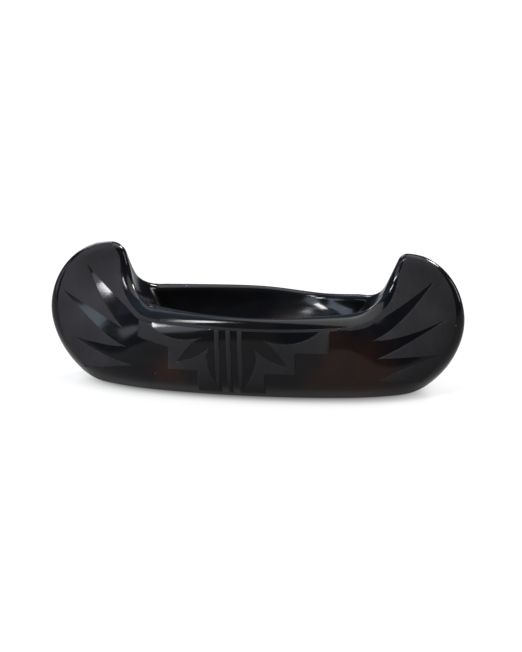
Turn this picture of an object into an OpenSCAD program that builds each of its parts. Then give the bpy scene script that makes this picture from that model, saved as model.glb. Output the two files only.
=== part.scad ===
// Burnished blackware canoe bowl, coil built, with matte slip painting.
// Millimetres. +X to the stern, -Y to port, +Z up, origin under the middle of the resting face.

/* [Overall] */
// Length over the two stems
length = 240; // [200:1:290]
// Widest beam of the hull
beam_width = 90; // [86:1:108]
// Height of the prow tips
prow_height = 81; // [74:0.5:94]
// Height of the rim amidships
gunwale_height = 48; // [40:0.5:52]

/* [Side profile] */
// Rise of the rim from amidships to the joint with the end pieces
sheer_rise = 2.5; // [0.5:0.5:4]
// Height of the foremost point of each stem
stem_height = 41; // [32:0.5:46]
// Length of the resting face
base_length = 174; // [150:1:190]
// Squareness of the stem below its foremost point, 2 is an ellipse
forefoot_squareness = 1.75; // [1.5:0.05:2.2]
// Squareness of the stem above its foremost point, 2 is an ellipse
stem_side_squareness = 2; // [1.8:0.05:2.4]
// Distance of the bow's tip from amidships
bow_reach = 84.5; // [78:0.5:92]
// Distance of the stern's tip from amidships
stern_reach = 86; // [78:0.5:92]
// Lean of the bow's inner edge from level, degrees
bow_angle = 71.5; // [60:0.5:74]
// Lean of the stern's inner edge from level, degrees
stern_angle = 66.5; // [60:0.5:74]
// Radius of the bow's tip seen from the side
bow_tip_radius = 9.5; // [5:0.5:11]
// Radius of the stern's tip seen from the side
stern_tip_radius = 6; // [4:0.5:9]
// Radius of the throat between gunwale and prow
throat_radius = 15; // [10:0.5:18]

/* [Plan and section] */
// Breadth over the outside of the rim amidships
rim_width = 83; // [74:1:86]
// Length of the rim's oval in plan, before it runs into the prows
rim_length = 168; // [160:1:176]
// Width of the resting face
base_width = 52; // [40:1:64]
// Height of the widest beam as a share of the side's height
belly_share = 0.5; // [0.4:0.01:0.6]
// Squareness of the bilge amidships, 2 is an ellipse
bilge_squareness = 3; // [2.4:0.1:3.6]
// Squareness of the section at the stems, 2 is an ellipse
stem_squareness = 2.2; // [1.9:0.1:2.8]
// Squareness of the shoulder that rolls from the widest beam to the rim's crest, 2 is an ellipse
shoulder_squareness = 2.5; // [2:0.1:3]
// Squareness of the hull in plan, 2 is an ellipse
plan_squareness = 2.2; // [1.9:0.1:2.6]
// Squareness of the rim in plan, 2 is an ellipse
rim_squareness = 1.65; // [1.5:0.05:2]
// Thickness of the prow's edge
prow_edge_width = 10; // [8:0.5:13]
// How fast the hull thins towards the prow tips, 1 is slow
prow_taper = 2.35; // [1.8:0.05:2.8]

/* [Clay wall] */
// Wall thickness at the rim
wall_thickness = 6.5; // [5:0.5:8]
// Thickness of the floor
floor_thickness = 7.5; // [5:0.5:11]
// Squareness of the hollow across the hull, 2 is an ellipse
hollow_squareness = 2; // [1.8:0.1:3]
// Fullness of the hollow along the hull, a high value gives it steep ends
hollow_sweep = 6; // [4:0.5:9]
// Depth of the trough that runs up each prow, as a share of its half breadth
trough_share = 0.35; // [0.2:0.05:0.5]
// Distance of the joints of wall and end pieces inboard of the throat
joint_setback = 2; // [1:0.5:10]

/* [Painting] */
// Thickness of the matte slip
slip_thickness = 0.3; // [0.2:0.05:0.6]
// Width of the painter's brush line
brush_width = 0.5; // [0.3:0.1:1]
// Distance of the mid panel's centre towards the bow
panel_offset = 9.1; // [0:0.1:14]
// Width of each of the three bars
bar_width = 2.6; // [1.6:0.1:4]
// Spacing of the three bars
bar_spacing = 6.5; // [5:0.1:8]
// Lean of the bars over their height
bar_lean = 2.3; // [0:0.1:4]
// Distance of the bars' tops from the mid panel's centre, towards the bow
bars_offset = 2.6; // [0:0.1:4]

/* [Hidden] */
SIDES = ["port", "starboard"];
COILS = 4;
PAINTED = ["bow_feathers", "stern_feathers", "bow_leaves", "stern_leaves", "bars", "rim_band"];

burnished = [0.06, 0.06, 0.065];
matte = [0.2, 0.195, 0.2];

half_length = length / 2;
base_x = base_length / 2;
rim_radius = wall_thickness / 2;
edge_half = prow_edge_width / 2;
joint_z = gunwale_height + sheer_rise;
// The gunwale runs on at the joint's slope until the throat begins
throat_z = joint_z + sheer_rise / 6;
joint_x = min(throat(bow_reach, bow_angle, bow_tip_radius).x,
    throat(stern_reach, stern_angle, stern_tip_radius).x) - joint_setback;

// Stations along the wall and round each end
wall_stations = 13;
end_stations = 18;
// Shares of a section's run where the belly and the rim's round begin
belly_turn_share = 0.55;
rim_turn_share = 0.88;
// Most of the prow's half breadth, and of a section's run, that the round of its edge takes up
edge_round_share = 0.85;
run_round_share = 0.3;
// Share of an end's run over which its section changes from the wall's to the stem's
section_change_share = 0.4;
// Share of an end's run over which the rolled shoulder gives way to the prow's wedge
wedge_share = 0.45;
// Widest the resting face may be as a share of the belly
base_limit_share = 0.95;
// How slowly the hollow's depth runs out towards its ends, 1 is plain
hollow_fall = 1.5;
// Seams between the floor, the wall coils and the rim coil, as shares of a section's run
seam_shares = [0, 0.3, 0.48, 0.58, 0.69, 0.8, 1];
floor_steps = 5;
coil_steps = 2;
rim_steps = 4;
// Every share of a section's run at which the hull has a line of corners
line_shares = concat(
    [for (i = [0:floor_steps - 1]) seam_shares[1] * i / floor_steps],
    [for (k = [1:COILS], i = [0:coil_steps - 1]) mix(seam_shares[k], seam_shares[k + 1], i / coil_steps)],
    [for (i = [0:rim_steps]) mix(seam_shares[COILS + 1], 1, i / rim_steps)]);
last_line = len(line_shares) - 1;

function mix(a, b, s) = a + (b - a) * s;
function smooth(s) = let (c = min(max(s, 0), 1)) c * c * (3 - 2 * c);
function spow(v, n) = pow(max(v, 0), 2 / n);
function oval(x, reach, n) = pow(max(0, 1 - pow(min(1, abs(x) / reach), n)), 1 / n);

// Side profile of a stem, from the joint along the resting face and round to the prow tip
function stem_path(reach, steps = 12) = concat(
    [[joint_x, 0]],
    [for (i = [0:steps]) let (a = 90 * i / steps)
        [mix(base_x, half_length, spow(sin(a), forefoot_squareness)),
         stem_height * (1 - spow(cos(a), forefoot_squareness))]],
    [for (i = [1:steps]) let (a = 90 * i / steps)
        [mix(reach, half_length, spow(cos(a), stem_side_squareness)),
         mix(stem_height, prow_height, spow(sin(a), stem_side_squareness))]]);

// Centre of the throat's arc, which runs up into the prow's leaning inner edge
function throat(reach, slope, tip_radius) = let (
    start = [reach - tip_radius * sin(slope), prow_height - tip_radius * (1 - cos(slope))],
    y = throat_z + throat_radius)
    [start.x + ((y - start.y) * cos(slope) - throat_radius) / sin(slope), y];
// Side profile of the rim, from the joint through the throat and up the prow's inner edge to its tip
function rim_path(reach, slope, tip_radius, steps = 8) = let (tip = [reach, prow_height - tip_radius])
    concat(
        [[joint_x, joint_z]],
        [for (i = [0:steps]) let (a = slope * i / steps - 90)
            throat(reach, slope, tip_radius) + throat_radius * [cos(a), sin(a)]],
        [for (i = [0:steps]) let (a = 90 + slope * (1 - i / steps)) tip + tip_radius * [cos(a), sin(a)]]);

function path_runs(p) =
    [for (i = 0, s = 0; i < len(p); s = s + (i < len(p) - 1 ? norm(p[i + 1] - p[i]) : 0), i = i + 1) s];
function path_table(p, k) = let (d = path_runs(p), e = d[len(d) - 1])
    [for (i = [0:len(p) - 1]) [d[i] / e, p[i][k]]];
// An end's profile as tables over the share run: stem x and z, rim x and z, then the tip's reach and the
// reach at which the hollow ends, at the top of the throat
function end_tables(reach, slope, tip_radius) = let (
    stem = stem_path(reach), rim = rim_path(reach, slope, tip_radius))
    [path_table(stem, 0), path_table(stem, 1), path_table(rim, 0), path_table(rim, 1), reach,
     throat(reach, slope, tip_radius).x + throat_radius * sin(slope)];
bow = end_tables(bow_reach, bow_angle, bow_tip_radius);
stern = end_tables(stern_reach, stern_angle, stern_tip_radius);

// Half breadths in plan
rim_span = sqrt(pow(rim_width / 2, 2) - pow(edge_half, 2));
belly_span = sqrt(pow(beam_width / 2, 2) - pow(edge_half, 2));
function rim_half(x, taper) =
    norm([rim_span * oval(x, rim_length / 2, rim_squareness) * taper, edge_half]);
function belly_half(x, taper) =
    norm([belly_span * oval(x, half_length, plan_squareness) * taper, edge_half]);
function base_half(x) = base_width / 2 * oval(x, base_x, 2);

// How far a section's curve runs on below the resting face, so that the face comes out base_half wide
function sunk(belly_run, belly, base, n) =
    belly_run / pow(1 - pow(min(base_limit_share, base / belly), n), 1 / n) - belly_run;

// Depth below the rim's crest: the bowl's own sweep, which runs out in a trough up the prow
function hollow_depth(end, head, crest) = let (
    sweep = pow(1 - pow(min(1, abs(head.x) / end[5]), hollow_sweep), hollow_fall))
    mix(trough_share * crest, min(head.y, joint_z) - floor_thickness, sweep);
// A section: foot, head, belly, rim, squareness, sunk run, hollow depth, rim radius, openness of the hollow,
// and how far the rolled shoulder gives way to the prow's wedge
function wall_section(x) = let (
    head = [x, gunwale_height + sheer_rise * pow(x / joint_x, 2)],
    belly = belly_half(x, 1),
    rim = rim_half(x, 1))
    [[x, 0], head, belly, rim, bilge_squareness,
     sunk(belly_share * head.y, belly, base_half(x), bilge_squareness),
     hollow_depth(x < 0 ? bow : stern, head, rim - rim_radius), rim_radius, 1, 0];
function end_section(end, q) = let (
    foot = [lookup(q, end[0]), lookup(q, end[1])],
    head = [lookup(q, end[2]), lookup(q, end[3])],
    run = norm(head - foot),
    round = min(1, (prow_height - (foot.y + head.y) / 2) / edge_half),
    closing = sqrt(1 - pow(1 - round, 2)),
    belly = closing * belly_half((foot.x + head.x) / 2, pow(cos(90 * q), prow_taper)),
    rise = smooth((head.y - joint_z) / (prow_height - joint_z)),
    rim = closing * rim_half(head.x, 1 - rise),
    edge_round = edge_round_share * rim,
    radius = min(mix(rim_radius, edge_round, sqrt(rise)), edge_round, run_round_share * run),
    n = mix(bilge_squareness, stem_squareness, smooth(q / section_change_share)))
    [foot, head, belly, rim, n, sunk(belly_share * run, belly, base_half(foot.x), n),
     hollow_depth(end, head, rim - radius), radius, 1 - smooth((head.x - joint_x) / (end[5] - joint_x)),
     smooth(q / wedge_share)];

// Angle at which the wedge's side runs smoothly into the round of its edge, from a first guess
function edge_turn(s, run, a) =
    atan2(2 * (s[2] - s[3] + s[7] * (1 - cos(a))), (1 - belly_share) * run - s[7] * (1 - sin(a)));
// Points of a section's outside as [along the section's line, half breadth], and of its inside as
// [above the rim's crest, half breadth]
function outside(s, t) = let (
    run = norm(s[1] - s[0]), side = run - s[7], belly_run = belly_share * run)
    t < belly_turn_share ? let (a = 90 * t / belly_turn_share)
        [(belly_run + s[5]) * (1 - spow(cos(a), s[4])) - s[5], s[2] * spow(sin(a), s[4])]
    : let (
        below = t < rim_turn_share,
        u = below ? (t - belly_turn_share) / (rim_turn_share - belly_turn_share)
            : (t - rim_turn_share) / (1 - rim_turn_share),
        turn = asin(pow((side - belly_run) / (run - belly_run), shoulder_squareness / 2)),
        a = below ? turn * u : mix(turn, 90, u),
        rolled = [mix(belly_run, run, spow(sin(a), shoulder_squareness)),
                  mix(s[3] - s[7], s[2], spow(cos(a), shoulder_squareness))],
        edge = edge_turn(s, run, edge_turn(s, run, edge_turn(s, run, 0))),
        b = below ? edge : mix(edge, 90, u),
        round = [run - s[7] * (1 - sin(b)), s[3] - s[7] * (1 - cos(b))],
        flat = below ? [mix(belly_run, round.x, u), mix(s[2], round.y, u * u)] : round)
        mix(rolled, flat, s[9]);
function inside(s, t) = let (
    crest = s[3] - s[7],
    trough = [-s[6] * (1 + cos(180 * t)) / 2, crest * t],
    hollow = t < rim_turn_share ? let (a = 90 * t / rim_turn_share)
        [-s[7] - (s[6] - s[7]) * spow(cos(a), hollow_squareness),
         (crest - s[7]) * spow(sin(a), hollow_squareness)]
    : let (a = 90 * (1 - t) / (1 - rim_turn_share))
        [-s[7] * (1 - cos(a)), crest - s[7] * sin(a)])
    mix(trough, hollow, s[8]);
function placed(s, p, side = 1) = let (c = s[0] + (s[1] - s[0]) / norm(s[1] - s[0]) * p.x)
    [c.x, side * p.y, max(0, c.y)];
function hung(s, p, side = 1) = [s[1].x, side * p.y, s[1].y + p.x];

wall_sections = [for (i = [0:wall_stations - 1]) let (u = i / (wall_stations - 1))
    wall_section(mix(-joint_x, joint_x, u))];
function end_sections(end) =
    [for (i = [0:end_stations - 1]) let (u = i / end_stations) end_section(end, mix(u, smooth(u), 0.5))];

// Triangles between m rings of n points. Their diagonals mirror about the middle ring and about the hull's
// outside, so that pieces that share a face share its triangles
function skin_faces(n, m, middle) = [
    for (i = [0:m - 2], j = [0:n - 1])
        let (a = i * n + j, b = a + n, d = i * n + (j + 1) % n, c = d + n)
            for (f = (j < n / 2) == (i >= middle) ? [[a, b, c], [a, c, d]] : [[b, c, d], [b, d, a]]) f];
// Closed solid through rings of equal length, with its two ends closed by the same faces
module loft(rings, cap) {
    n = len(rings[0]);
    m = len(rings);
    last = [for (f = cap) [for (k = [len(f) - 1:-1:0]) (m - 1) * n + f[k]]];
    polyhedron([for (r = rings, p = r) p], concat(skin_faces(n, m, (m - 1) / 2), cap, last));
}
// Faces that close a ring of n + 1 points out and n + 1 points back
function strip_cap(n) = [for (i = [0:n - 1]) [i, i + 1, 2 * n - i, 2 * n + 1 - i]];

// Makes a piece of the starboard side, or its mirror image on the port side
module on_side(side) {
    if (side == "port")
        mirror([0, 1, 0]) children();
    else
        children();
}

// The pressed floor, from seam to seam across the keel
module floor_slab() {
    rings = [for (s = wall_sections) concat(
        [for (i = [-floor_steps:floor_steps]) placed(s, outside(s, line_shares[abs(i)]), sign(i))],
        [for (i = [floor_steps:-1:-floor_steps]) hung(s, inside(s, line_shares[abs(i)]), sign(i))])];
    color(burnished) loft(rings, strip_cap(2 * floor_steps));
}

// One length of wall from joint to joint, between two of the hull's lines
module wall_length(low, high) {
    rings = [for (s = wall_sections) concat(
        [for (i = [low:high]) placed(s, outside(s, line_shares[i]))],
        [for (i = [high:-1:low]) hung(s, inside(s, line_shares[i]))])];
    loft(rings, strip_cap(high - low));
}
module wall_coil(side, k) {
    low = floor_steps + (k - 1) * coil_steps;
    color(burnished) on_side(side) wall_length(low, low + coil_steps);
}
module rim_coil(side) {
    low = floor_steps + COILS * coil_steps;
    color(burnished) on_side(side) rim_length_solid(low);
}
// The rim's two faces meet in one line along its crest
module rim_length_solid(low) {
    n = 2 * (last_line - low);
    rings = [for (s = wall_sections) concat(
        [for (i = [low:last_line]) placed(s, outside(s, line_shares[i]))],
        [for (i = [last_line - 1:-1:low]) hung(s, inside(s, line_shares[i]))])];
    cap = [for (i = [0:n / 2 - 1]) i == n / 2 - 1 ? [i, i + 1, i + 2] : [i, i + 1, n - i - 1, n - i]];
    loft(rings, cap);
}

// One end: hollowed at the joint, solid below the trough, drawn to the prow tip
module end_piece(end) {
    ring_n = 4 * last_line;
    rings = [for (s = end_sections(end)) concat(
        [for (i = [0:last_line]) placed(s, outside(s, line_shares[i]))],
        [for (i = [last_line - 1:-1:0]) hung(s, inside(s, line_shares[i]))],
        [for (i = [1:last_line]) hung(s, inside(s, line_shares[i]), -1)],
        [for (i = [last_line - 1:-1:1]) placed(s, outside(s, line_shares[i]), -1)])];
    tip = end_stations * ring_n;
    face = [for (i = [0:last_line - 1], f = [
        [i, i + 1, 2 * last_line - i - 1, 2 * last_line - i],
        [2 * last_line + i, 2 * last_line + i + 1, ring_n - i - 1, (ring_n - i) % ring_n]]) f];
    crown = [for (j = [0:ring_n - 1]) [tip - ring_n + j, tip, tip - ring_n + (j + 1) % ring_n]];
    polyhedron(concat([for (r = rings, p = r) p], [[end[4], 0, prow_height]]),
        concat(skin_faces(ring_n, end_stations, 0), face, crown));
}
module bow_end() color(burnished) mirror([1, 0, 0]) end_piece(bow);
module stern_end() color(burnished) end_piece(stern);

// The painting is drawn in the side view and laid on the hull.
// Its borders follow the hull's own lines, at these shares of a section's run
border_share = 0.25;
band_low_share = 0.8;
band_high_share = 0.834;
field_edge_share = 0.866;
// Shares of the end's run where a feather field starts low on the stem and where it stops under the tip
field_low_share = 0.315;
field_high_share = 0.93;
// Share of the end's run up to which the field is a strip as wide as the rim band
strip_share = 0.18;
border_steps = 8;

function side_view(p) = [p.x, p.z];
function wall_point(x, t) = let (s = wall_section(x)) side_view(placed(s, outside(s, t)));
function end_point(end, q, t) = let (s = end_section(end, q)) side_view(placed(s, outside(s, t)));
// A point of the drawing as shares of half the length and of the prow's height
function drawn(p) = [p.x * half_length, p.y * prow_height];
// A brush curve from a to b that passes through via halfway
function curve(a, via, b, steps = 5) = let (c = 2 * via - (a + b) / 2)
    [for (i = [0:steps - 1]) let (s = i / steps) a * (1 - s) * (1 - s) + 2 * c * s * (1 - s) + b * s * s];

// Outline of one end's matte field: tooth tips point inboard, feather tips outboard, from the keel up.
// Each row holds a tooth tip, the curve's way to the next feather tip, that tip, and the curve's way back
stern_rows = [
    [[0.61, 0.178], [0.733, 0.253], [0.905, 0.315], [0.734, 0.323]],
    [[0.6, 0.337], [0.733, 0.414], [0.915, 0.563], [0.733, 0.469]],
    [[0.574, 0.458], [0.708, 0.574], [0.845, 0.823], [0.697, 0.655]]];
bow_rows = [
    [[0.549, 0.228], [0.708, 0.265], [0.858, 0.341], [0.7, 0.333]],
    [[0.588, 0.352], [0.733, 0.432], [0.93, 0.654], [0.753, 0.547]],
    [[0.593, 0.452], [0.692, 0.599], [0.813, 0.847], [0.68, 0.692]]];
// Share of the joint's distance from amidships at which the rim band meets the feather fields
band_end_share = 0.94;
band_x = band_end_share * joint_x;
function field_outline(end, rows) = let (
    teeth = [for (r = rows) drawn(r[0])],
    ends = concat([for (i = [1:len(rows) - 1]) teeth[i]], [end_point(end, strip_share, band_low_share)]))
    concat(
        [for (i = [border_steps:-1:0])
            end_point(end, mix(field_low_share, field_high_share, i / border_steps), border_share)],
        [for (i = [0:len(rows) - 1], p = concat(
            curve(teeth[i], drawn(rows[i][1]), drawn(rows[i][2])),
            curve(drawn(rows[i][2]), drawn(rows[i][3]), ends[i]))) p],
        [for (i = [border_steps:-1:0]) end_point(end, strip_share * i / border_steps, band_low_share)],
        [wall_point(band_x, band_low_share), wall_point(band_x, band_high_share)],
        [for (i = [0:border_steps]) let (u = i / border_steps)
            end_point(end, field_high_share * u, mix(band_high_share, field_edge_share, u))]);

// Outline of half the stepped mid panel: three leaves fan out of its upper corner, clear of the matte slip
step_shares_x = [0.16, 0.302, 0.455];
step_shares_z = [0.062, 0.226, 0.384];
// Half the gap at the foot between the panel's two halves
panel_gap_share = 0.052;
// The bow half's outer corner is painted higher than the stern half's
bow_corner_share = 0.435;
leaf_rows = [
    [[0.411, 0.528], [0.285, 0.452], [0.14, 0.47]],
    [[0.14, 0.47], [0.203, 0.399], [0.26, 0.288]],
    [[0.26, 0.288], [0.161, 0.341], [0.097, 0.421]],
    [[0.097, 0.421], [0.113, 0.296], [0.058, 0.106]]];
function panel_outline(direction) = let (
    outer = wall_point(step_shares_x[2] * half_length, band_low_share),
    leaf = wall_point(leaf_rows[0][0].x * half_length, band_low_share),
    corner = direction < 0 ? bow_corner_share : step_shares_z[2])
    [for (p = concat(
        [drawn([panel_gap_share, step_shares_z[0]]), drawn([step_shares_x[0], step_shares_z[0]]),
         drawn([step_shares_x[0], step_shares_z[1]]), drawn([step_shares_x[1], step_shares_z[1]]),
         drawn([step_shares_x[1], step_shares_z[2]]), drawn([step_shares_x[2], corner]),
         outer],
        curve(leaf, drawn(leaf_rows[0][1]), drawn(leaf_rows[0][2])),
        [for (i = [1:3], p = let (r = leaf_rows[i]) curve(drawn(r[0]), drawn(r[1]), drawn(r[2]))) p],
        [drawn(leaf_rows[3][2])]))
        [direction * p.x - panel_offset, p.y]];

// A painted shape seen from the side: its fill, and the brush line round it
module brushed(outline) {
    polygon(outline);
    for (i = [0:len(outline) - 1])
        hull() for (p = [outline[i], outline[(i + 1) % len(outline)]])
            translate(p) circle(d = brush_width, $fn = 6);
}

// A thin coat over the whole starboard side, from bow tip to stern tip
coat_lines = [for (i = [2:last_line - 1]) i];
module coat() {
    bow_part = end_sections(bow);
    stern_part = end_sections(stern);
    stations = concat(
        [for (i = [end_stations - 1:-1:1]) [bow_part[i], -1]],
        [for (s = wall_sections) [s, 1]],
        [for (i = [1:end_stations - 1]) [stern_part[i], 1]]);
    n = len(coat_lines) - 1;
    rings = [for (s = stations) let (
        skin = [for (i = coat_lines) let (p = placed(s[0], outside(s[0], line_shares[i])))
            [s[1] * p.x, p.y, p.z]])
        concat([for (p = skin) p + [0, slip_thickness, 0]], [for (i = [n:-1:0]) skin[i]])];
    loft(rings, strip_cap(n));
}
module painted(side) {
    color(matte) on_side(side) intersection() {
        coat();
        rotate([90, 0, 0]) linear_extrude(beam_width + 2 * slip_thickness, center = true) children();
    }
}

module feathers(side, at) {
    if (at == "bow")
        painted(side) mirror([1, 0]) brushed(field_outline(bow, bow_rows));
    else
        painted(side) brushed(field_outline(stern, stern_rows));
}
module leaves(side, at) painted(side) brushed(panel_outline(at == "bow" ? -1 : 1));
module bars(side) {
    top = wall_point(panel_offset, band_low_share).y;
    foot = step_shares_z[0] * prow_height;
    painted(side) for (i = [-1:1]) {
        x = i * bar_spacing - panel_offset - bars_offset;
        brushed([[x - bar_width / 2 + bar_lean, foot], [x + bar_width / 2 + bar_lean, foot],
                 [x + bar_width / 2, top], [x - bar_width / 2, top]]);
    }
}
module rim_band(side) {
    steps = 12;
    painted(side) brushed(concat(
        [for (i = [0:steps]) wall_point(mix(-band_x, band_x, i / steps), band_low_share)],
        [for (i = [steps:-1:0]) wall_point(mix(-band_x, band_x, i / steps), band_high_share)]));
}

floor_slab();
bow_end();
stern_end();
for (side = SIDES) {
    for (k = [1:COILS])
        wall_coil(side, k);
    rim_coil(side);
    for (at = ["bow", "stern"]) {
        feathers(side, at);
        leaves(side, at);
    }
    bars(side);
    rim_band(side);
}
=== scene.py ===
from math import asin, atan2, cos, exp, hypot, pi, radians, sin, sqrt

import bmesh
import bpy
from mathutils import Matrix, Quaternion, Vector, noise
from mathutils.bvhtree import BVHTree


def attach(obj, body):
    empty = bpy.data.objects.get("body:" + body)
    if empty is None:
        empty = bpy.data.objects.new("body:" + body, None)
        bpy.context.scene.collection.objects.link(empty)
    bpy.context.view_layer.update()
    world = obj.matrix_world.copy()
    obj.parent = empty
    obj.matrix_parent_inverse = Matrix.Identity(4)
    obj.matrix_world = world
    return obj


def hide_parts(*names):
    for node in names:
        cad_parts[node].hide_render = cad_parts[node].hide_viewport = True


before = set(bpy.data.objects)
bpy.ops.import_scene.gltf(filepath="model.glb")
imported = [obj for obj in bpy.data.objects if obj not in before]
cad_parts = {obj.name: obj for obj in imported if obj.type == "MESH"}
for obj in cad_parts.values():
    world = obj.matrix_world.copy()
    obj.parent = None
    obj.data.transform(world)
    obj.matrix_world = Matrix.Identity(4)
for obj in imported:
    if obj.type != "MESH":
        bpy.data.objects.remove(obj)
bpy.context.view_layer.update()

# The clay body: a pressed floor slab, coiled walls, a round rim and two pinched ends, joined while soft
# and smoothed into one hull. Grey clay under a black slip, rubbed with a stone until it shines, and
# then smoke fired. Sizes are in millimetres from amidships, the middle line and the table.
MM = 0.001
HALF_LENGTH, PROW_HEIGHT = 119.7, 80.9
GUNWALE_HEIGHT, SHEER_RISE, STEM_HEIGHT = 49.0, 1.5, 41.0
BASE_X, BASE_HALF, BASE_FULLNESS = 87.0, 26.0, 2
FOREFOOT_FULLNESS, STEM_FULLNESS = 1.75, 2.0
THROAT_RADIUS, THROAT_LIFT, JOINT_SETBACK = 15.0, 0.25, 2.0
BELLY_HALF, RIM_HALF, RIM_REACH = 45.0, 41.5, 84.0
BELLY_SHARE, BILGE_FULLNESS, STEM_SECTION = 0.5, 3.0, 2.2
PLAN_FULLNESS, RIM_FULLNESS, EDGE_HALF, PROW_TAPER = 2.2, 1.65, 5.0, 2.35
RIM_RADIUS, FLOOR_THICKNESS, SHOULDER_FULLNESS = 3.25, 7.5, 2.5
HOLLOW_FULLNESS, HOLLOW_SWEEP, SWEEP_EASE, TROUGH = 2.0, 6.0, 1.5, 0.35
BOW = {"reach": 84.5, "slope": radians(71.5), "tip": 9.5, "way": -1}
STERN = {"reach": 86.0, "slope": radians(66.5), "tip": 6.0, "way": 1}
JOINT_Z = GUNWALE_HEIGHT + SHEER_RISE
THROAT_Z = JOINT_Z + THROAT_LIFT + THROAT_RADIUS
QUARTER_STEPS, TURN_STEPS = 24, 16


def mix(a, b, share):
    return a + (b - a) * share


def smooth(share):
    s = min(max(share, 0.0), 1.0)
    return s * s * (3 - 2 * s)


def filled_out(value, fullness):
    """A sine or cosine filled out, so that it draws a squarer curve than a round."""
    return max(value, 0.0) ** (2 / fullness)


def oval(x, reach, fullness):
    return max(0.0, 1 - min(1.0, abs(x) / reach) ** fullness) ** (1 / fullness)


def run_along(points):
    """The shares of a path's length at its points, for looking a place up by its share."""
    runs = [0.0]
    for a, b in zip(points, points[1:]):
        runs.append(runs[-1] + hypot(b[0] - a[0], b[1] - a[1]))
    return [run / runs[-1] for run in runs]


def along(path, share):
    """The point of a path at a share of its length."""
    shares, points = path
    for k in range(1, len(shares)):
        if share <= shares[k] or k == len(shares) - 1:
            s = (share - shares[k - 1]) / (shares[k] - shares[k - 1])
            return (mix(points[k - 1][0], points[k][0], s), mix(points[k - 1][1], points[k][1], s))


# The throat is the round where the rim turns up to the prow
for end in (BOW, STERN):
    reach, slope, tip = end["reach"], end["slope"], end["tip"]
    start = (reach - tip * sin(slope), PROW_HEIGHT - tip * (1 - cos(slope)))
    end["throat_x"] = start[0] + ((THROAT_Z - start[1]) * cos(slope) - THROAT_RADIUS) / sin(slope)
    end["hollow_reach"] = end["throat_x"] + THROAT_RADIUS * sin(slope)
JOINT_X = min(BOW["throat_x"], STERN["throat_x"]) - JOINT_SETBACK

# Each end is drawn by two lines in the side view, the stem outside and the rim inside
quarter = [pi / 2 * k / QUARTER_STEPS for k in range(QUARTER_STEPS + 1)]
for end in (BOW, STERN):
    reach, slope, tip, throat_x = end["reach"], end["slope"], end["tip"], end["throat_x"]
    stem = [(JOINT_X, 0.0)]
    stem += [(mix(BASE_X, HALF_LENGTH, filled_out(sin(a), FOREFOOT_FULLNESS)),
              STEM_HEIGHT * (1 - filled_out(cos(a), FOREFOOT_FULLNESS))) for a in quarter]
    stem += [(mix(reach, HALF_LENGTH, filled_out(cos(a), STEM_FULLNESS)),
              mix(STEM_HEIGHT, PROW_HEIGHT, filled_out(sin(a), STEM_FULLNESS))) for a in quarter[1:]]
    turn = [slope * k / TURN_STEPS for k in range(TURN_STEPS + 1)]
    rim = [(JOINT_X, JOINT_Z)]
    rim += [(throat_x + THROAT_RADIUS * sin(a), THROAT_Z - THROAT_RADIUS * cos(a)) for a in turn]
    rim += [(reach - tip * sin(a), PROW_HEIGHT - tip * (1 - cos(a))) for a in reversed(turn)]
    end["stem"] = (run_along(stem), stem)
    end["rim"] = (run_along(rim), rim)

RIM_SPAN = sqrt(RIM_HALF ** 2 - EDGE_HALF ** 2)
BELLY_SPAN = sqrt(BELLY_HALF ** 2 - EDGE_HALF ** 2)
WIDEST_BASE = 0.95
LAST_SHARE = 0.9999
EDGE_ROUND, ROUND_LIMIT = 0.85, 0.3
STEM_CHANGE, WEDGE_SHARE = 2.5, 0.45
BELLY_T, RIM_T = 0.55, 0.88


def below_foot(belly_run, belly, base, fullness):
    """How far the bilge's curve would run on below the flat foot that cuts it."""
    share = min(WIDEST_BASE, base / belly)
    return belly_run / (1 - share ** fullness) ** (1 / fullness) - belly_run


def base_half(x):
    return BASE_HALF * oval(x, BASE_X, BASE_FULLNESS)


def hollow_depth(end, head, crest):
    """Depth below the rim's crest: the bowl's sweep, which runs out in a shallow trough up the prow."""
    sweep = (1 - min(1.0, abs(head[0]) / end["hollow_reach"]) ** HOLLOW_SWEEP) ** SWEEP_EASE
    return mix(TROUGH * crest, min(head[1], JOINT_Z) - FLOOR_THICKNESS, sweep)


def wall_section(x):
    """A section straight up the open wall, at a place along the length."""
    head = (x, GUNWALE_HEIGHT + SHEER_RISE * (x / JOINT_X) ** 2)
    belly = hypot(BELLY_SPAN * oval(x, HALF_LENGTH, PLAN_FULLNESS), EDGE_HALF)
    rim = hypot(RIM_SPAN * oval(x, RIM_REACH, RIM_FULLNESS), EDGE_HALF)
    return {"foot": (x, 0.0), "head": head, "belly": belly, "rim": rim, "way": 1,
            "full": BILGE_FULLNESS, "open": 1.0, "radius": RIM_RADIUS, "wedge": 0.0,
            "below": below_foot(BELLY_SHARE * head[1], belly, base_half(x), BILGE_FULLNESS),
            "depth": hollow_depth(BOW if x < 0 else STERN, head, rim - RIM_RADIUS)}


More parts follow.
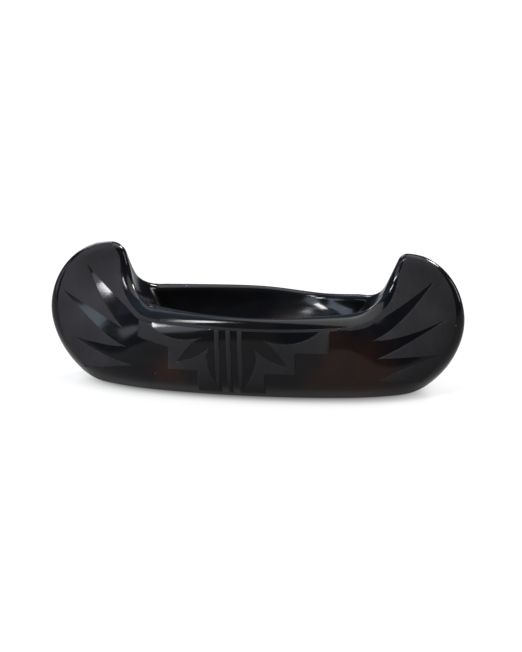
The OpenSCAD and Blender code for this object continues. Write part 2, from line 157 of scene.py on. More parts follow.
def end_section(end, share):
    """A section that fans out from the stem to the rim, at a share of the way up the end."""
    share = min(share, LAST_SHARE)
    foot, head = along(end["stem"], share), along(end["rim"], share)
    run = hypot(head[0] - foot[0], head[1] - foot[1])
    rounded = min(1.0, (PROW_HEIGHT - (foot[1] + head[1]) / 2) / EDGE_HALF)
    closing = sqrt(1 - (1 - rounded) ** 2)
    taper = max(0.0, cos(pi / 2 * share)) ** PROW_TAPER
    middle = oval((foot[0] + head[0]) / 2, HALF_LENGTH, PLAN_FULLNESS)
    belly = closing * hypot(BELLY_SPAN * middle * taper, EDGE_HALF)
    rise = smooth((head[1] - JOINT_Z) / (PROW_HEIGHT - JOINT_Z))
    rim = closing * hypot(RIM_SPAN * oval(head[0], RIM_REACH, RIM_FULLNESS) * (1 - rise), EDGE_HALF)
    edge = EDGE_ROUND * rim
    radius = min(mix(RIM_RADIUS, edge, sqrt(rise)), edge, ROUND_LIMIT * run)
    full = mix(BILGE_FULLNESS, STEM_SECTION, smooth(STEM_CHANGE * share))
    opened = 1 - smooth((head[0] - JOINT_X) / (end["hollow_reach"] - JOINT_X))
    return {"foot": foot, "head": head, "belly": belly, "rim": rim, "way": end["way"],
            "full": full, "open": opened, "radius": radius, "wedge": smooth(share / WEDGE_SHARE),
            "below": below_foot(BELLY_SHARE * run, belly, base_half(foot[0]), full),
            "depth": hollow_depth(end, head, rim - radius)}


def placed(section, run, half):
    """A point of a section, from its run along the section's line and its half breadth."""
    (x0, z0), (x1, z1) = section["foot"], section["head"]
    share = run / hypot(x1 - x0, z1 - z0)
    x = section["way"] * mix(x0, x1, share)
    return Vector((x, half, max(0.0, mix(z0, z1, share)))) * MM


def edge_turn(section, run, a):
    """The angle at which the wedge's side runs smoothly into the round of its edge, from a guess."""
    s = section
    return atan2(2 * (s["belly"] - s["rim"] + s["radius"] * (1 - cos(a))),
                 (1 - BELLY_SHARE) * run - s["radius"] * (1 - sin(a)))


def outside(section, t):
    """A point of the outer face: the bilge, then the shoulder rolled to the rim or the prow's wedge."""
    s = section
    run = hypot(s["head"][0] - s["foot"][0], s["head"][1] - s["foot"][1])
    belly_run, radius = BELLY_SHARE * run, s["radius"]
    if t < BELLY_T:
        a = pi / 2 * t / BELLY_T
        low = (belly_run + s["below"]) * (1 - filled_out(cos(a), s["full"])) - s["below"]
        return placed(s, low, s["belly"] * filled_out(sin(a), s["full"]))
    below = t < RIM_T
    u = (t - BELLY_T) / (RIM_T - BELLY_T) if below else (t - RIM_T) / (1 - RIM_T)
    turn = asin(((run - radius - belly_run) / (run - belly_run)) ** (SHOULDER_FULLNESS / 2))
    a = turn * u if below else mix(turn, pi / 2, u)
    rolled = (mix(belly_run, run, filled_out(sin(a), SHOULDER_FULLNESS)),
              mix(s["rim"] - radius, s["belly"], filled_out(cos(a), SHOULDER_FULLNESS)))
    edge = edge_turn(s, run, edge_turn(s, run, edge_turn(s, run, 0)))
    b = edge if below else mix(edge, pi / 2, u)
    flat = (run - radius * (1 - sin(b)), s["rim"] - radius * (1 - cos(b)))
    if below:
        flat = (mix(belly_run, flat[0], u), mix(s["belly"], flat[1], u * u))
    return placed(s, mix(rolled[0], flat[0], s["wedge"]), mix(rolled[1], flat[1], s["wedge"]))


def inside(section, t):
    """A point of the rim's inner round and the hollow, which flatten into a trough up the prow."""
    s = section
    crest, radius = s["rim"] - s["radius"], s["radius"]
    if t < RIM_T:
        a = pi / 2 * t / RIM_T
        half = (crest - radius) * filled_out(sin(a), HOLLOW_FULLNESS)
        above = -radius - (s["depth"] - radius) * filled_out(cos(a), HOLLOW_FULLNESS)
    else:
        a = pi / 2 * (1 - t) / (1 - RIM_T)
        half, above = crest - radius * sin(a), -radius * (1 - cos(a))
    trough = -s["depth"] * (1 + cos(pi * t)) / 2
    x, z = s["head"]
    return Vector((s["way"] * x, mix(crest * t, half, s["open"]), z + mix(trough, above, s["open"]))) * MM


END_ROWS, WALL_ROWS, ROW_EASE = 30, 30, 0.5
end_shares = [mix(k / END_ROWS, smooth(k / END_ROWS), ROW_EASE) for k in range(1, END_ROWS + 1)]
rows = [end_section(BOW, share) for share in reversed(end_shares)]
rows += [wall_section(mix(-JOINT_X, JOINT_X, k / WALL_ROWS)) for k in range(WALL_ROWS + 1)]
rows += [end_section(STERN, share) for share in end_shares]
LOW_LINES, SIDE_LINES, ROUND_LINES, HOLLOW_LINES = 18, 8, 6, 16
lines = [(outside, BELLY_T * k / LOW_LINES) for k in range(LOW_LINES)]
lines += [(outside, mix(BELLY_T, RIM_T, k / SIDE_LINES)) for k in range(SIDE_LINES)]
lines += [(outside, mix(RIM_T, 1.0, k / ROUND_LINES)) for k in range(ROUND_LINES + 1)]
lines += [(inside, mix(1.0, RIM_T, k / ROUND_LINES)) for k in range(1, ROUND_LINES)]
lines += [(inside, RIM_T * (1 - k / HOLLOW_LINES)) for k in range(HOLLOW_LINES + 1)]

# From here on in metres: the small unevenness of hand work, and the wall that moved while it was soft
WELD, SHEET_HALF = 0.00002, 0.5
WOBBLE, WOBBLE_SCALE, WOBBLE_FROM_FOOT = 0.00025, 28.0, 0.006
DIP, DIP_X, DIP_SPREAD = 0.0037, 0.036, 0.025
LEAN, LEAN_X, LEAN_SPREAD = 0.0048, 0.034, 0.026
LEAN_LIMIT, LEAN_FADE = 0.0452, 0.008
SOFT_FROM_Y, SOFT_WITHIN_Y = 0.005, 0.015
SOFT_FROM_Z, SOFT_WITHIN_Z = 0.029, 0.02


def settled(point):
    """How far the starboard wall leaned out and sank near the stern while the clay was soft."""
    lean = LEAN * exp(-((point.x - LEAN_X) / LEAN_SPREAD) ** 2)
    lean *= smooth((LEAN_LIMIT - point.y) / LEAN_FADE)
    dip = DIP * exp(-((point.x - DIP_X) / DIP_SPREAD) ** 2)
    starboard = smooth((point.y - SOFT_FROM_Y) / SOFT_WITHIN_Y)
    high = smooth((point.z - SOFT_FROM_Z) / SOFT_WITHIN_Z)
    return Vector((0, lean, -dip)) * starboard * high


# A flat sheet is bent row by row into one half of the hull, and mirrored to the other along the keel
bm = bmesh.new()
bmesh.ops.create_grid(bm, x_segments=len(rows) - 1, y_segments=len(lines) - 1, size=SHEET_HALF)
for v in bm.verts:
    row = rows[round((v.co.x + SHEET_HALF) * (len(rows) - 1))]
    face, t = lines[round((v.co.y + SHEET_HALF) * (len(lines) - 1))]
    v.co = face(row, t)
bmesh.ops.remove_doubles(bm, verts=bm.verts, dist=WELD)
bmesh.ops.mirror(bm, geom=bm.verts[:] + bm.edges[:] + bm.faces[:], matrix=Matrix.Identity(4),
                 merge_dist=WELD, axis="Y")
bmesh.ops.dissolve_degenerate(bm, dist=WELD / 2, edges=bm.edges)
bmesh.ops.holes_fill(bm, edges=[e for e in bm.edges if e.is_boundary])
bmesh.ops.recalc_face_normals(bm, faces=bm.faces)
bm.normal_update()
for v in bm.verts:
    uneven = WOBBLE * (noise.noise(v.co * WOBBLE_SCALE) - 1) / 2 * smooth(v.co.z / WOBBLE_FROM_FOOT)
    v.co += v.normal * uneven + settled(v.co)
for f in bm.faces:
    f.smooth = True
hull_mesh = bpy.data.meshes.new("burnished_hull")
bm.to_mesh(hull_mesh)
bm.free()
hull = bpy.data.objects.new("burnished_hull", hull_mesh)
bpy.context.scene.collection.objects.link(hull)
rounding = hull.modifiers.new("smoothed_clay", "SUBSURF")
rounding.levels = rounding.render_levels = 1


def node(tree, kind, values=None, **settings):
    """A shader node with its settings, and its inputs set to values or linked to other outputs."""
    made = tree.nodes.new("ShaderNode" + kind)
    for name, value in settings.items():
        setattr(made, name, value)
    for key, value in (values or {}).items():
        if isinstance(value, bpy.types.NodeSocket):
            tree.links.new(value, made.inputs[key])
        else:
            made.inputs[key].default_value = value
    return made


def ramp(tree, value, low, high, to_low=0.0, to_high=1.0):
    """A value spread smoothly from one range to another."""
    return node(tree, "MapRange", {0: value, 1: low, 2: high, 3: to_low, 4: to_high},
                interpolation_type="SMOOTHSTEP").outputs[0]


def reckon(tree, operation, a, b):
    return node(tree, "Math", {0: a, 1: b}, operation=operation).outputs[0]


def tint(tree, share, under, over):
    """A colour between two, by a share that changes over the surface."""
    return node(tree, "Mix", {0: share, 6: under, 7: over}, data_type="RGBA").outputs[2]


def mottle(tree, at, scale, detail):
    return node(tree, "TexNoise", {"Vector": at, "Scale": scale, "Detail": detail}).outputs["Fac"]


# What the smoke firing leaves on bare and painted clay alike: rusty clouds, pale specks and a fine grain
CLOUDS = [((0.058, -0.036, 0.016), 0.036), ((-0.046, -0.041, 0.010), 0.018),
          ((0.018, 0.043, 0.014), 0.028), ((-0.078, 0.030, 0.018), 0.020)]
CLOUD_CORE, DRIFT, DRIFT_SCALE, DRIFT_DETAIL, DRIFT_ROUGHNESS = 0.25, 0.03, 70.0, 4.0, 0.6
SPECK_CELLS, SPECK_OUT, SPECK_IN, SPECK_CHOICE = 95.0, 0.04, 0.02, 0.72
GRAIN_SCALE, GRAIN_DETAIL = 900.0, 3.0
MIDDLE_TONE = (0.5, 0.5, 0.5)
kiln_marks = bpy.data.node_groups.new("kiln_marks", "ShaderNodeTree")
for name in ("Cloud", "Speck", "Grain"):
    kiln_marks.interface.new_socket(name, in_out="OUTPUT", socket_type="NodeSocketFloat")
here = node(kiln_marks, "TexCoord").outputs["Object"]
drift = node(kiln_marks, "TexNoise", {"Vector": here, "Scale": DRIFT_SCALE, "Detail": DRIFT_DETAIL,
                                      "Roughness": DRIFT_ROUGHNESS}).outputs["Color"]
centred = node(kiln_marks, "VectorMath", {0: drift, 1: MIDDLE_TONE}, operation="SUBTRACT").outputs[0]
smear = node(kiln_marks, "VectorMath", {0: centred, "Scale": DRIFT}, operation="SCALE").outputs[0]
drifted = node(kiln_marks, "VectorMath", {0: here, 1: smear}, operation="ADD").outputs[0]
cloud = None
for centre, radius in CLOUDS:
    away = node(kiln_marks, "VectorMath", {0: drifted, 1: centre}, operation="DISTANCE").outputs["Value"]
    patch = ramp(kiln_marks, away, radius, CLOUD_CORE * radius)
    cloud = patch if cloud is None else reckon(kiln_marks, "MAXIMUM", cloud, patch)
cells = node(kiln_marks, "TexVoronoi", {"Vector": here, "Scale": SPECK_CELLS})
dot = ramp(kiln_marks, cells.outputs["Distance"], SPECK_OUT, SPECK_IN)
chosen = node(kiln_marks, "SeparateColor", {0: cells.outputs["Color"]}).outputs[0]
speck = reckon(kiln_marks, "MULTIPLY", dot, reckon(kiln_marks, "GREATER_THAN", chosen, SPECK_CHOICE))
grain = mottle(kiln_marks, here, GRAIN_SCALE, GRAIN_DETAIL)
kiln_out = kiln_marks.nodes.new("NodeGroupOutput")
for name, value in (("Cloud", cloud), ("Speck", speck), ("Grain", grain)):
    kiln_marks.links.new(value, kiln_out.inputs[name])

# The burnished skin: long strokes of the rubbing stone, uneven polish, and a foot that is dull from wear
BLACK, WARM_BLACK = (0.0012, 0.0013, 0.0018, 1), (0.0023, 0.0022, 0.0023, 1)
RUST, PALE_SPECK, SPECK_SHARE = (0.0092, 0.0034, 0.0023, 1), (0.30, 0.29, 0.27, 1), 0.5
STROKE_SCALE, STROKE_DETAIL, STROKE_STRETCH, STROKE_TILT = 60.0, 3.0, (1.0, 7.0, 7.0), (0.0, 0.06, 0.0)
PATCH_SCALE, PATCH_DETAIL = 38.0, 2.0
MOTTLE_RANGE, WARM_RANGE, BROKEN_RANGE, BROKEN_CLOUD = (0.3, 0.7), (0.35, 0.7), (0.3, 0.65), (0.35, 1.0)
STROKE_DULLNESS, PATCH_DULLNESS = (0.10, 0.14), (0.0, 0.03)
FOOT_HEIGHTS, FOOT_DULLNESS = (0.012, 0.003), (0.0, 0.4)
STROKE_BUMP, STROKE_DEPTH, PIT_BUMP, PIT_DEPTH = 0.07, 0.0003, 0.04, 0.0001
burnished = bpy.data.materials.new("burnished_black_slip")
burnished.use_nodes = True
tree = burnished.node_tree
shader = tree.nodes["Principled BSDF"]
marks = node(tree, "Group", node_tree=kiln_marks).outputs
here = node(tree, "TexCoord").outputs["Object"]
rubbed = node(tree, "Mapping",
              {"Vector": here, "Scale": STROKE_STRETCH, "Rotation": STROKE_TILT}).outputs[0]
strokes = mottle(tree, rubbed, STROKE_SCALE, STROKE_DETAIL)
patches = mottle(tree, here, PATCH_SCALE, PATCH_DETAIL)
clouded = reckon(tree, "MULTIPLY", marks["Cloud"], ramp(tree, patches, *BROKEN_RANGE, *BROKEN_CLOUD))
colour = tint(tree, ramp(tree, patches, *WARM_RANGE), BLACK, WARM_BLACK)
colour = tint(tree, clouded, colour, RUST)
colour = tint(tree, reckon(tree, "MULTIPLY", marks["Speck"], SPECK_SHARE), colour, PALE_SPECK)
tree.links.new(colour, shader.inputs["Base Color"])
stroke_dullness = ramp(tree, strokes, *MOTTLE_RANGE, *STROKE_DULLNESS)
patch_dullness = ramp(tree, patches, *MOTTLE_RANGE, *PATCH_DULLNESS)
height = node(tree, "SeparateXYZ", {0: here}).outputs["Z"]
foot_dullness = ramp(tree, height, *FOOT_HEIGHTS, *FOOT_DULLNESS)
dullness = reckon(tree, "ADD", reckon(tree, "ADD", stroke_dullness, patch_dullness), foot_dullness)
tree.links.new(dullness, shader.inputs["Roughness"])
stoned = node(tree, "Bump", {"Height": strokes, "Strength": STROKE_BUMP, "Distance": STROKE_DEPTH})
pitted = node(tree, "Bump", {"Height": marks["Grain"], "Strength": PIT_BUMP, "Distance": PIT_DEPTH,
                             "Normal": stoned.outputs[0]})
tree.links.new(pitted.outputs[0], shader.inputs["Normal"])
shader.inputs["Specular IOR Level"].default_value = 0.105
hull_mesh.materials.append(burnished)

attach(hull, "root")
CLAY = ["floor_slab", "bow_end", "stern_end", "port_rim", "starboard_rim"]
CLAY += [f"{side}_coil_{k}" for side in ("port", "starboard") for k in (1, 2, 3, 4)]
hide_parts(*CLAY)

# The feather fields: matte slip, a thin wash of clay that stays dull in the fire, brushed over the polish
# on both sides of each end. Three feathers of bare polish are left between the painted points.
GREY, PALE_GREY = (0.0084, 0.0081, 0.0088, 1), (0.0126, 0.0121, 0.0131, 1)
MIDDLE_DARK_GREY, MIDDLE_DARK_REACH, MIDDLE_DARK_SHARE = (0.007, 0.007, 0.007, 1), (0.08, 0.03), (0.0, 0.5)
SLIP_RUST, SLIP_CLOUD = (0.034, 0.022, 0.018, 1), 0.35
SLIP_SPECK, SLIP_SPECK_SHARE = (0.28, 0.27, 0.26, 1), 0.6
BRUSH_SCALE, BRUSH_DETAIL, BRUSH_STRETCH, BRUSH_TILT = 160.0, 4.0, (3.0, 1.0, 1.0), (0.0, 0.5, 0.0)
WASH_SCALE, WASH_DETAIL, WASH_PART, BRUSH_PART = 45.0, 3.0, (0.0, 0.7), (0.0, 0.3)
SLIP_DULLNESS = (0.58, 0.7)
BRUSH_BUMP, BRUSH_DEPTH, DUST_BUMP, DUST_DEPTH = 0.08, 0.0002, 0.12, 0.0001
matte_slip = bpy.data.materials.new("matte_slip")
matte_slip.use_nodes = True
tree = matte_slip.node_tree
shader = tree.nodes["Principled BSDF"]
marks = node(tree, "Group", node_tree=kiln_marks).outputs
here = node(tree, "TexCoord").outputs["Object"]
swept = node(tree, "Mapping",
             {"Vector": here, "Scale": BRUSH_STRETCH, "Rotation": BRUSH_TILT}).outputs[0]
brushed = mottle(tree, swept, BRUSH_SCALE, BRUSH_DETAIL)
washes = mottle(tree, here, WASH_SCALE, WASH_DETAIL)
wash = reckon(tree, "ADD", ramp(tree, washes, *MOTTLE_RANGE, *WASH_PART),
              ramp(tree, brushed, *MOTTLE_RANGE, *BRUSH_PART))
from_middle = reckon(tree, "ABSOLUTE", node(tree, "SeparateXYZ", {0: here}).outputs["X"], 0.0)
colour = tint(tree, wash, GREY, PALE_GREY)
# The slip's grey is made darker towards the middle of the length.
colour = tint(tree, ramp(tree, from_middle, *MIDDLE_DARK_REACH, *MIDDLE_DARK_SHARE), colour, MIDDLE_DARK_GREY)
colour = tint(tree, reckon(tree, "MULTIPLY", marks["Cloud"], SLIP_CLOUD), colour, SLIP_RUST)
colour = tint(tree, reckon(tree, "MULTIPLY", marks["Speck"], SLIP_SPECK_SHARE), colour, SLIP_SPECK)
tree.links.new(colour, shader.inputs["Base Color"])
tree.links.new(ramp(tree, brushed, *MOTTLE_RANGE, *SLIP_DULLNESS), shader.inputs["Roughness"])
streaked = node(tree, "Bump", {"Height": brushed, "Strength": BRUSH_BUMP, "Distance": BRUSH_DEPTH})
dusty = node(tree, "Bump", {"Height": marks["Grain"], "Strength": DUST_BUMP, "Distance": DUST_DEPTH,
                            "Normal": streaked.outputs[0]})
tree.links.new(dusty.outputs[0], shader.inputs["Normal"])
shader.inputs["Specular IOR Level"].default_value = 0.03

SIDES = (("port", -1), ("starboard", 1))
SLIP, CELL = 0.00012, 0.0015
CUT_WELD, SLIP_WELD = 1e-7, 1e-6
EYE_Y, WALL_Y, NEAR_Y = 0.2, 0.04, 0.01
DRAWN_REACH, DRAWN_HEIGHT, BRUSH_STEPS = 120, 81, 12
BAND_LOW, BAND_HIGH, BAND_REACH = 0.8, 0.834, 0.94
BAND_X = BAND_REACH * JOINT_X
FIELD_LOW, FIELD_HIGH, FIELD_EDGE, STEM_BORDER = 0.315, 0.93, 0.9, 0.25
STRIP, BORDER_STEPS = 0.18, 24
hull_surface = BVHTree.FromObject(hull, bpy.context.evaluated_depsgraph_get())


def side_view(point):
    return (point.x, point.z)


def wall_point(x, t):
    return side_view(outside(wall_section(x), t))


def drawn(x, z):
    """A point of the drawing from its shares of half the length and of the prow's height."""
    return (x * DRAWN_REACH * MM, z * DRAWN_HEIGHT * MM)


def brush_curve(a, via, b):
    """A stroke from a to b that passes through via halfway, without its last point."""
    bend = [2 * v - (p + q) / 2 for p, v, q in zip(a, via, b)]
    stroke = []
    for s in [k / BRUSH_STEPS for k in range(BRUSH_STEPS)]:
        stroke.append(tuple(p * (1 - s) ** 2 + 2 * c * s * (1 - s) + q * s * s
                            for p, c, q in zip(a, bend, b)))
    return stroke


def lay_slip(name, outlines, side, stands_for):
    """Fills outlines drawn in the side view, cuts them fine and lays them on one side of the hull."""
    bm = bmesh.new()
    for outline in outlines:
        bm.faces.new([bm.verts.new((x, 0, z)) for x, z in outline])
    bm.normal_update()
    bmesh.ops.triangulate(bm, faces=bm.faces, quad_method="BEAUTY", ngon_method="EAR_CLIP")
    for axis in (0, 2):
        low = min(v.co[axis] for v in bm.verts)
        high = max(v.co[axis] for v in bm.verts)
        cuts = int((high - low) / CELL)
        for k in range(1, cuts):
            at, across = Vector(), Vector()
            at[axis] = mix(low, high, k / cuts)
            across[axis] = 1.0
            bmesh.ops.bisect_plane(bm, geom=bm.verts[:] + bm.edges[:] + bm.faces[:], dist=CUT_WELD,
                                   plane_co=at, plane_no=across)
    bmesh.ops.remove_doubles(bm, verts=bm.verts, dist=SLIP_WELD)
    for v in bm.verts:
        eye = Vector((v.co.x, side * EYE_Y, v.co.z)) + settled(Vector((v.co.x, side * WALL_Y, v.co.z)))
        spot, normal = hull_surface.ray_cast(eye, Vector((0, -side, 0)))[:2]
        if spot is None:
            spot, normal = hull_surface.find_nearest(v.co + Vector((0, side * NEAR_Y, 0)))[:2]
        v.co = spot + normal * SLIP
    bmesh.ops.recalc_face_normals(bm, faces=bm.faces)
    if sum(f.normal.y for f in bm.faces) * side < 0:
        bmesh.ops.reverse_faces(bm, faces=bm.faces)
    for f in bm.faces:
        f.smooth = True
    bm.normal_update()
    bmesh.ops.solidify(bm, geom=bm.verts[:] + bm.edges[:] + bm.faces[:], thickness=2 * SLIP)
    mesh = bpy.data.meshes.new(name)
    bm.to_mesh(mesh)
    bm.free()
    mesh.materials.append(matte_slip)
    piece = bpy.data.objects.new(name, mesh)
    bpy.context.scene.collection.objects.link(piece)
    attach(piece, "root")
    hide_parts(stands_for)


# Each feather: the painted point below it, a place on its lower edge, its tip, and one on its upper edge
STERN_FEATHERS = [
    [(0.61, 0.178), (0.733, 0.253), (0.905, 0.315), (0.734, 0.323)],
    [(0.6, 0.337), (0.733, 0.414), (0.915, 0.563), (0.733, 0.469)],
    [(0.574, 0.458), (0.708, 0.574), (0.845, 0.823), (0.697, 0.655)]]
BOW_FEATHERS = [
    [(0.549, 0.228), (0.708, 0.265), (0.858, 0.341), (0.7, 0.333)],
    [(0.588, 0.352), (0.733, 0.432), (0.93, 0.654), (0.763, 0.540)],
    [(0.593, 0.452), (0.716, 0.599), (0.813, 0.847), (0.704, 0.692)]]


def feather_field(end, feathers):
    """One end's field: down the stem's border, up past the feathers, then back along the rim."""
    way = end["way"]

    def edge(share, t):
        x, z = side_view(outside(end_section(end, share), t))
        return (way * x, z)

    shares = [k / BORDER_STEPS for k in range(BORDER_STEPS + 1)]
    outline = [edge(mix(FIELD_HIGH, FIELD_LOW, u), STEM_BORDER) for u in shares]
    for k, (tooth, out, tip, back) in enumerate(feathers):
        after = drawn(*feathers[k + 1][0]) if k + 1 < len(feathers) else edge(STRIP, BAND_LOW)
        outline += brush_curve(drawn(*tooth), drawn(*out), drawn(*tip))
        outline += brush_curve(drawn(*tip), drawn(*back), after)
    outline += [edge(STRIP * (1 - u), BAND_LOW) for u in shares]
    outline += [wall_point(BAND_X, BAND_LOW), wall_point(BAND_X, BAND_HIGH)]
    outline += [edge(FIELD_HIGH * u, mix(BAND_HIGH, FIELD_EDGE, u)) for u in shares]
    return [(way * x, z) for x, z in outline]


bow_field, stern_field = feather_field(BOW, BOW_FEATHERS), feather_field(STERN, STERN_FEATHERS)
for name, side in SIDES:
    lay_slip(f"{name}_bow_feather_slip", [bow_field], side, f"{name}_bow_feathers")
    lay_slip(f"{name}_stern_feather_slip", [stern_field], side, f"{name}_stern_feathers")

# The stepped panels: the same matte slip, in two halves on each side, one to the bow and one aft of it.
# Each half steps in towards the foot, and curved leaves of bare polish are left along its inner edge.
PANEL_SHIFT, PANEL_INNER = 9.1, 0.052
STEP_REACH, STEP_HEIGHTS = (0.16, 0.302, 0.455), (0.062, 0.226, 0.384)
OUTER_CORNER = {1: 0.384, -1: 0.435}
LEAF_START = 0.411
LEAF_STROKES = [
    ((0.285, 0.452), (0.14, 0.47)),
    ((0.203, 0.399), (0.26, 0.288)),
    ((0.161, 0.341), (0.097, 0.421)),
    ((0.113, 0.296), (0.058, 0.106))]


def stepped_panel(way):
    """Half a panel: out and up the steps, then back from the band down the leaves."""
    outline = [drawn(PANEL_INNER, STEP_HEIGHTS[0])]
    for k, reach in enumerate(STEP_REACH[:2]):
        outline += [drawn(reach, STEP_HEIGHTS[k]), drawn(reach, STEP_HEIGHTS[k + 1])]
    outline.append(drawn(STEP_REACH[2], OUTER_CORNER[way]))
    outline.append(wall_point(STEP_REACH[2] * DRAWN_REACH, BAND_LOW))
    at = wall_point(LEAF_START * DRAWN_REACH, BAND_LOW)
    for via, to in LEAF_STROKES:
        outline += brush_curve(at, drawn(*via), drawn(*to))
        at = drawn(*to)
    outline.append(at)
    return [(way * x - PANEL_SHIFT * MM, z) for x, z in outline]


for name, side in SIDES:
    lay_slip(f"{name}_bow_leaf_slip", [stepped_panel(-1)], side, f"{name}_bow_leaves")
    lay_slip(f"{name}_stern_leaf_slip", [stepped_panel(1)], side, f"{name}_stern_leaves")

# The bars: three strokes of matte slip on each side, between the two halves of the panel.
# They are brushed from the band down to the lowest step, with their feet a little towards the stern.
BAR_WIDTH, BAR_SPACING, BAR_LEAN, BARS_SHIFT = 2.6, 6.5, 2.3, 2.6
bar_top = wall_point(PANEL_SHIFT, BAND_LOW)[1]
bar_foot = drawn(0, STEP_HEIGHTS[0])[1]
bars = []
for k in (-1, 0, 1):
    x = k * BAR_SPACING - PANEL_SHIFT - BARS_SHIFT
    left, right = x - BAR_WIDTH / 2, x + BAR_WIDTH / 2
    bars.append([((left + BAR_LEAN) * MM, bar_foot), ((right + BAR_LEAN) * MM, bar_foot),
                 (right * MM, bar_top), (left * MM, bar_top)])
for name, side in SIDES:
    lay_slip(f"{name}_bar_slip", bars, side, f"{name}_bars")

# The rim band: one narrow line of matte slip along each side, under the polished rim.
# It is brushed on last, and joins the two feather fields, the panels and the bars.
BAND_STEPS = 48
band = [wall_point(mix(-BAND_X, BAND_X, k / BAND_STEPS), BAND_LOW) for k in range(BAND_STEPS + 1)]
band += [wall_point(mix(BAND_X, -BAND_X, k / BAND_STEPS), BAND_HIGH) for k in range(BAND_STEPS + 1)]
for name, side in SIDES:
    lay_slip(f"{name}_band_slip", [band], side, f"{name}_rim_band")

# The table under the bowl: a wide sheet of white paper that runs out of the picture on every side.
# The lamps light it and it also glows by itself, so that it is white to the eye and in the polish.
# Near the bowl's foot the glow fades away, which paints a darker contact shadow on the paper there.
TABLE_HALF, TABLE_CELLS = 6.0, 8
PAPER = (0.09, 0.089, 0.088, 1)
GLOW_REACH, GLOW = (0.15, 1.3), (0.77, 0.91)
PAINTED_SHADOW_REACH = (-0.006, 0.016)
FOOT_X, FOOT_Y = BASE_X * MM, BASE_HALF * MM
bm = bmesh.new()
bmesh.ops.create_grid(bm, x_segments=TABLE_CELLS, y_segments=TABLE_CELLS, size=TABLE_HALF)
table_mesh = bpy.data.meshes.new("white_table")
bm.to_mesh(table_mesh)
bm.free()
table = bpy.data.objects.new("white_table", table_mesh)
bpy.context.scene.collection.objects.link(table)
paper = bpy.data.materials.new("white_paper")
paper.use_nodes = True
tree = paper.node_tree
shader = tree.nodes["Principled BSDF"]
shader.inputs["Base Color"].default_value = PAPER
shader.inputs["Roughness"].default_value = 0.9
shader.inputs["Specular IOR Level"].default_value = 0.0
shader.inputs["Emission Color"].default_value = (1, 1, 1, 1)


def length_of(tree, vector, stretch):
    """The length of a vector that is stretched along its axes first."""
    stretched = node(tree, "VectorMath", {0: vector, 1: stretch}, operation="MULTIPLY").outputs[0]
    return node(tree, "VectorMath", {0: stretched}, operation="LENGTH").outputs["Value"]


# The gap to the foot's oval edge is what its equation leaves over, divided by the equation's slope
here = node(tree, "TexCoord").outputs["Object"]
away = length_of(tree, here, (1, 1, 1))
across_foot = length_of(tree, here, (1 / FOOT_X, 1 / FOOT_Y, 0))
slope = length_of(tree, here, (2 / FOOT_X ** 2, 2 / FOOT_Y ** 2, 0))
past_foot = reckon(tree, "SUBTRACT", reckon(tree, "MULTIPLY", across_foot, across_foot), 1.0)
gap = reckon(tree, "DIVIDE", past_foot, slope)
# The glow is cut within a short gap of the foot's edge: a painted contact shadow around the foot.
glow = reckon(tree, "MULTIPLY", ramp(tree, away, *GLOW_REACH, *GLOW), ramp(tree, gap, *PAINTED_SHADOW_REACH))
tree.links.new(glow, shader.inputs["Emission Strength"])
table_mesh.materials.append(paper)

# The studio: a broad soft light overhead and a dim cool room. Small bright windows at the front left make
# the highlights on the bow, with softer light from the left. Others at the right and behind light the
# rim, the hollow and the starboard side.
LIT_POINT = Vector((0, 0, 0.04))
world = bpy.data.worlds.new("dim_room")
world.use_nodes = True
world.node_tree.nodes["Background"].inputs["Color"].default_value = (0.17, 0.20, 0.25, 1)
bpy.context.scene.world = world


def lamp(name, kind, at, power, size, colour=(1, 1, 1), roll=0.0):
    """A lamp that faces the bowl: a sun of some angle, or a rectangle turned by its roll."""
    data = bpy.data.lights.new(name, kind)
    data.energy = power
    data.color = colour
    if kind == "AREA":
        data.shape = "RECTANGLE"
        data.size, data.size_y = size
    else:
        data.angle = size
    obj = bpy.data.objects.new(name, data)
    obj.location = at
    facing = (LIT_POINT - Vector(at)).to_track_quat("-Z", "Y")
    obj.rotation_euler = (facing @ Quaternion((0, 0, 1), roll)).to_euler()
    bpy.context.scene.collection.objects.link(obj)


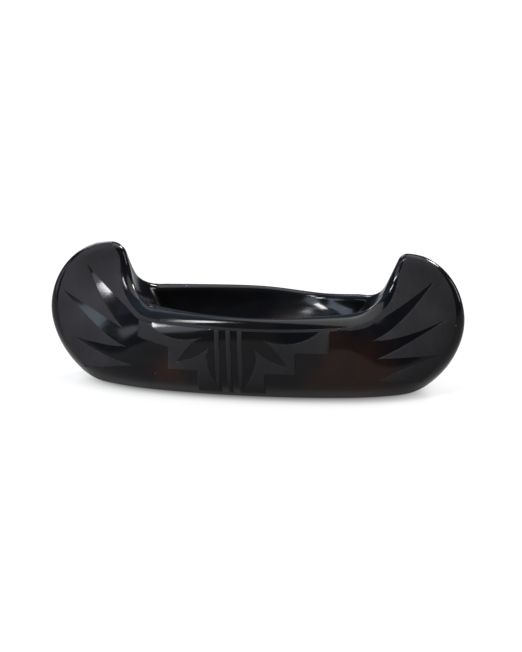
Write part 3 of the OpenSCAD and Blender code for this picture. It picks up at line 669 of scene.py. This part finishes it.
lamp("overhead", "SUN", (0.40, 0.20, 1.38), 3.8, radians(58))
lamp("key_window", "AREA", (-0.663, -0.791, 0.755), 21, (0.16, 0.34), (0.97, 0.97, 1.0), radians(52))
lamp("high_window", "AREA", (-0.387, -0.644, 1.037), 11, (0.13, 0.26), (0.97, 0.97, 1.0), radians(31))
lamp("low_window", "AREA", (-0.500, -1.020, 0.550), 2.8, (0.28, 0.34), (0.82, 0.89, 1.0), radians(40))
lamp("left_wall", "AREA", (-0.983, -0.614, 0.508), 5.6, (0.38, 0.42), (0.72, 0.83, 1.0))
lamp("left_sky", "AREA", (-0.80, 0.10, 1.30), 5, (1.2, 1.2), (0.55, 0.74, 1.0))
lamp("right_window", "AREA", (1.257, 0.088, 0.40), 6, (0.15, 0.46), (1.0, 0.97, 0.93))
lamp("back_window", "AREA", (-0.474, 0.887, 0.55), 3.5, (0.5, 0.3), (0.9, 0.95, 1.0))
lamp("starboard_window", "AREA", (0.62, 0.80, 0.80), 18, (0.16, 0.30), (1.0, 0.98, 0.95))
lamp("back_sky", "AREA", (-0.10, 0.75, 1.10), 4, (1.2, 0.4), (0.80, 0.89, 1.0))
lamp("left_glow", "AREA", (-1.10, -0.10, 0.27), 1.7, (0.3, 0.4), (0.85, 0.9, 1.0))

# The camera: it stands nearly two metres off the port side, a little towards the stern, and looks down
# at 15 degrees. The picture's size and the place of the bowl's middle in it are in pixels.
ELEVATION, YAW, ROLL = radians(15), radians(5.935), radians(0.94)
DISTANCE, PIXELS_PER_MM, MIDDLE_HEIGHT = 1805.0, 1.7407, 41
PICTURE_WIDTH, PICTURE_HEIGHT, MIDDLE_X, MIDDLE_Y = 522, 652, 256.66, 314.91
SENSOR = 36
turn = Matrix(((cos(YAW), sin(YAW), 0), (-sin(YAW), cos(YAW), 0), (0, 0, 1)))
tilt = Matrix(((1, 0, 0), (0, cos(ELEVATION), -sin(ELEVATION)), (0, sin(ELEVATION), cos(ELEVATION))))
lean = Matrix(((cos(ROLL), 0, sin(ROLL)), (0, 1, 0), (-sin(ROLL), 0, cos(ROLL))))
right, forward, up = (lean @ tilt @ turn).row
aim = Vector((0, 0, MIDDLE_HEIGHT))
aim += (PICTURE_WIDTH / 2 - MIDDLE_X) / PIXELS_PER_MM * right
aim -= (PICTURE_HEIGHT / 2 - MIDDLE_Y) / PIXELS_PER_MM * up
camera_data = bpy.data.cameras.new("camera")
camera_data.sensor_width = SENSOR
camera_data.lens = PIXELS_PER_MM * DISTANCE * SENSOR / PICTURE_HEIGHT
camera_data.clip_start, camera_data.clip_end = 0.05, 50
camera = bpy.data.objects.new("camera", camera_data)
stand = Matrix((right, up, -forward)).transposed().to_4x4()
stand.translation = (aim - DISTANCE * forward) * MM
camera.matrix_world = stand
bpy.context.scene.collection.objects.link(camera)
bpy.context.scene.camera = camera
bpy.context.scene.view_settings.view_transform = "Standard"
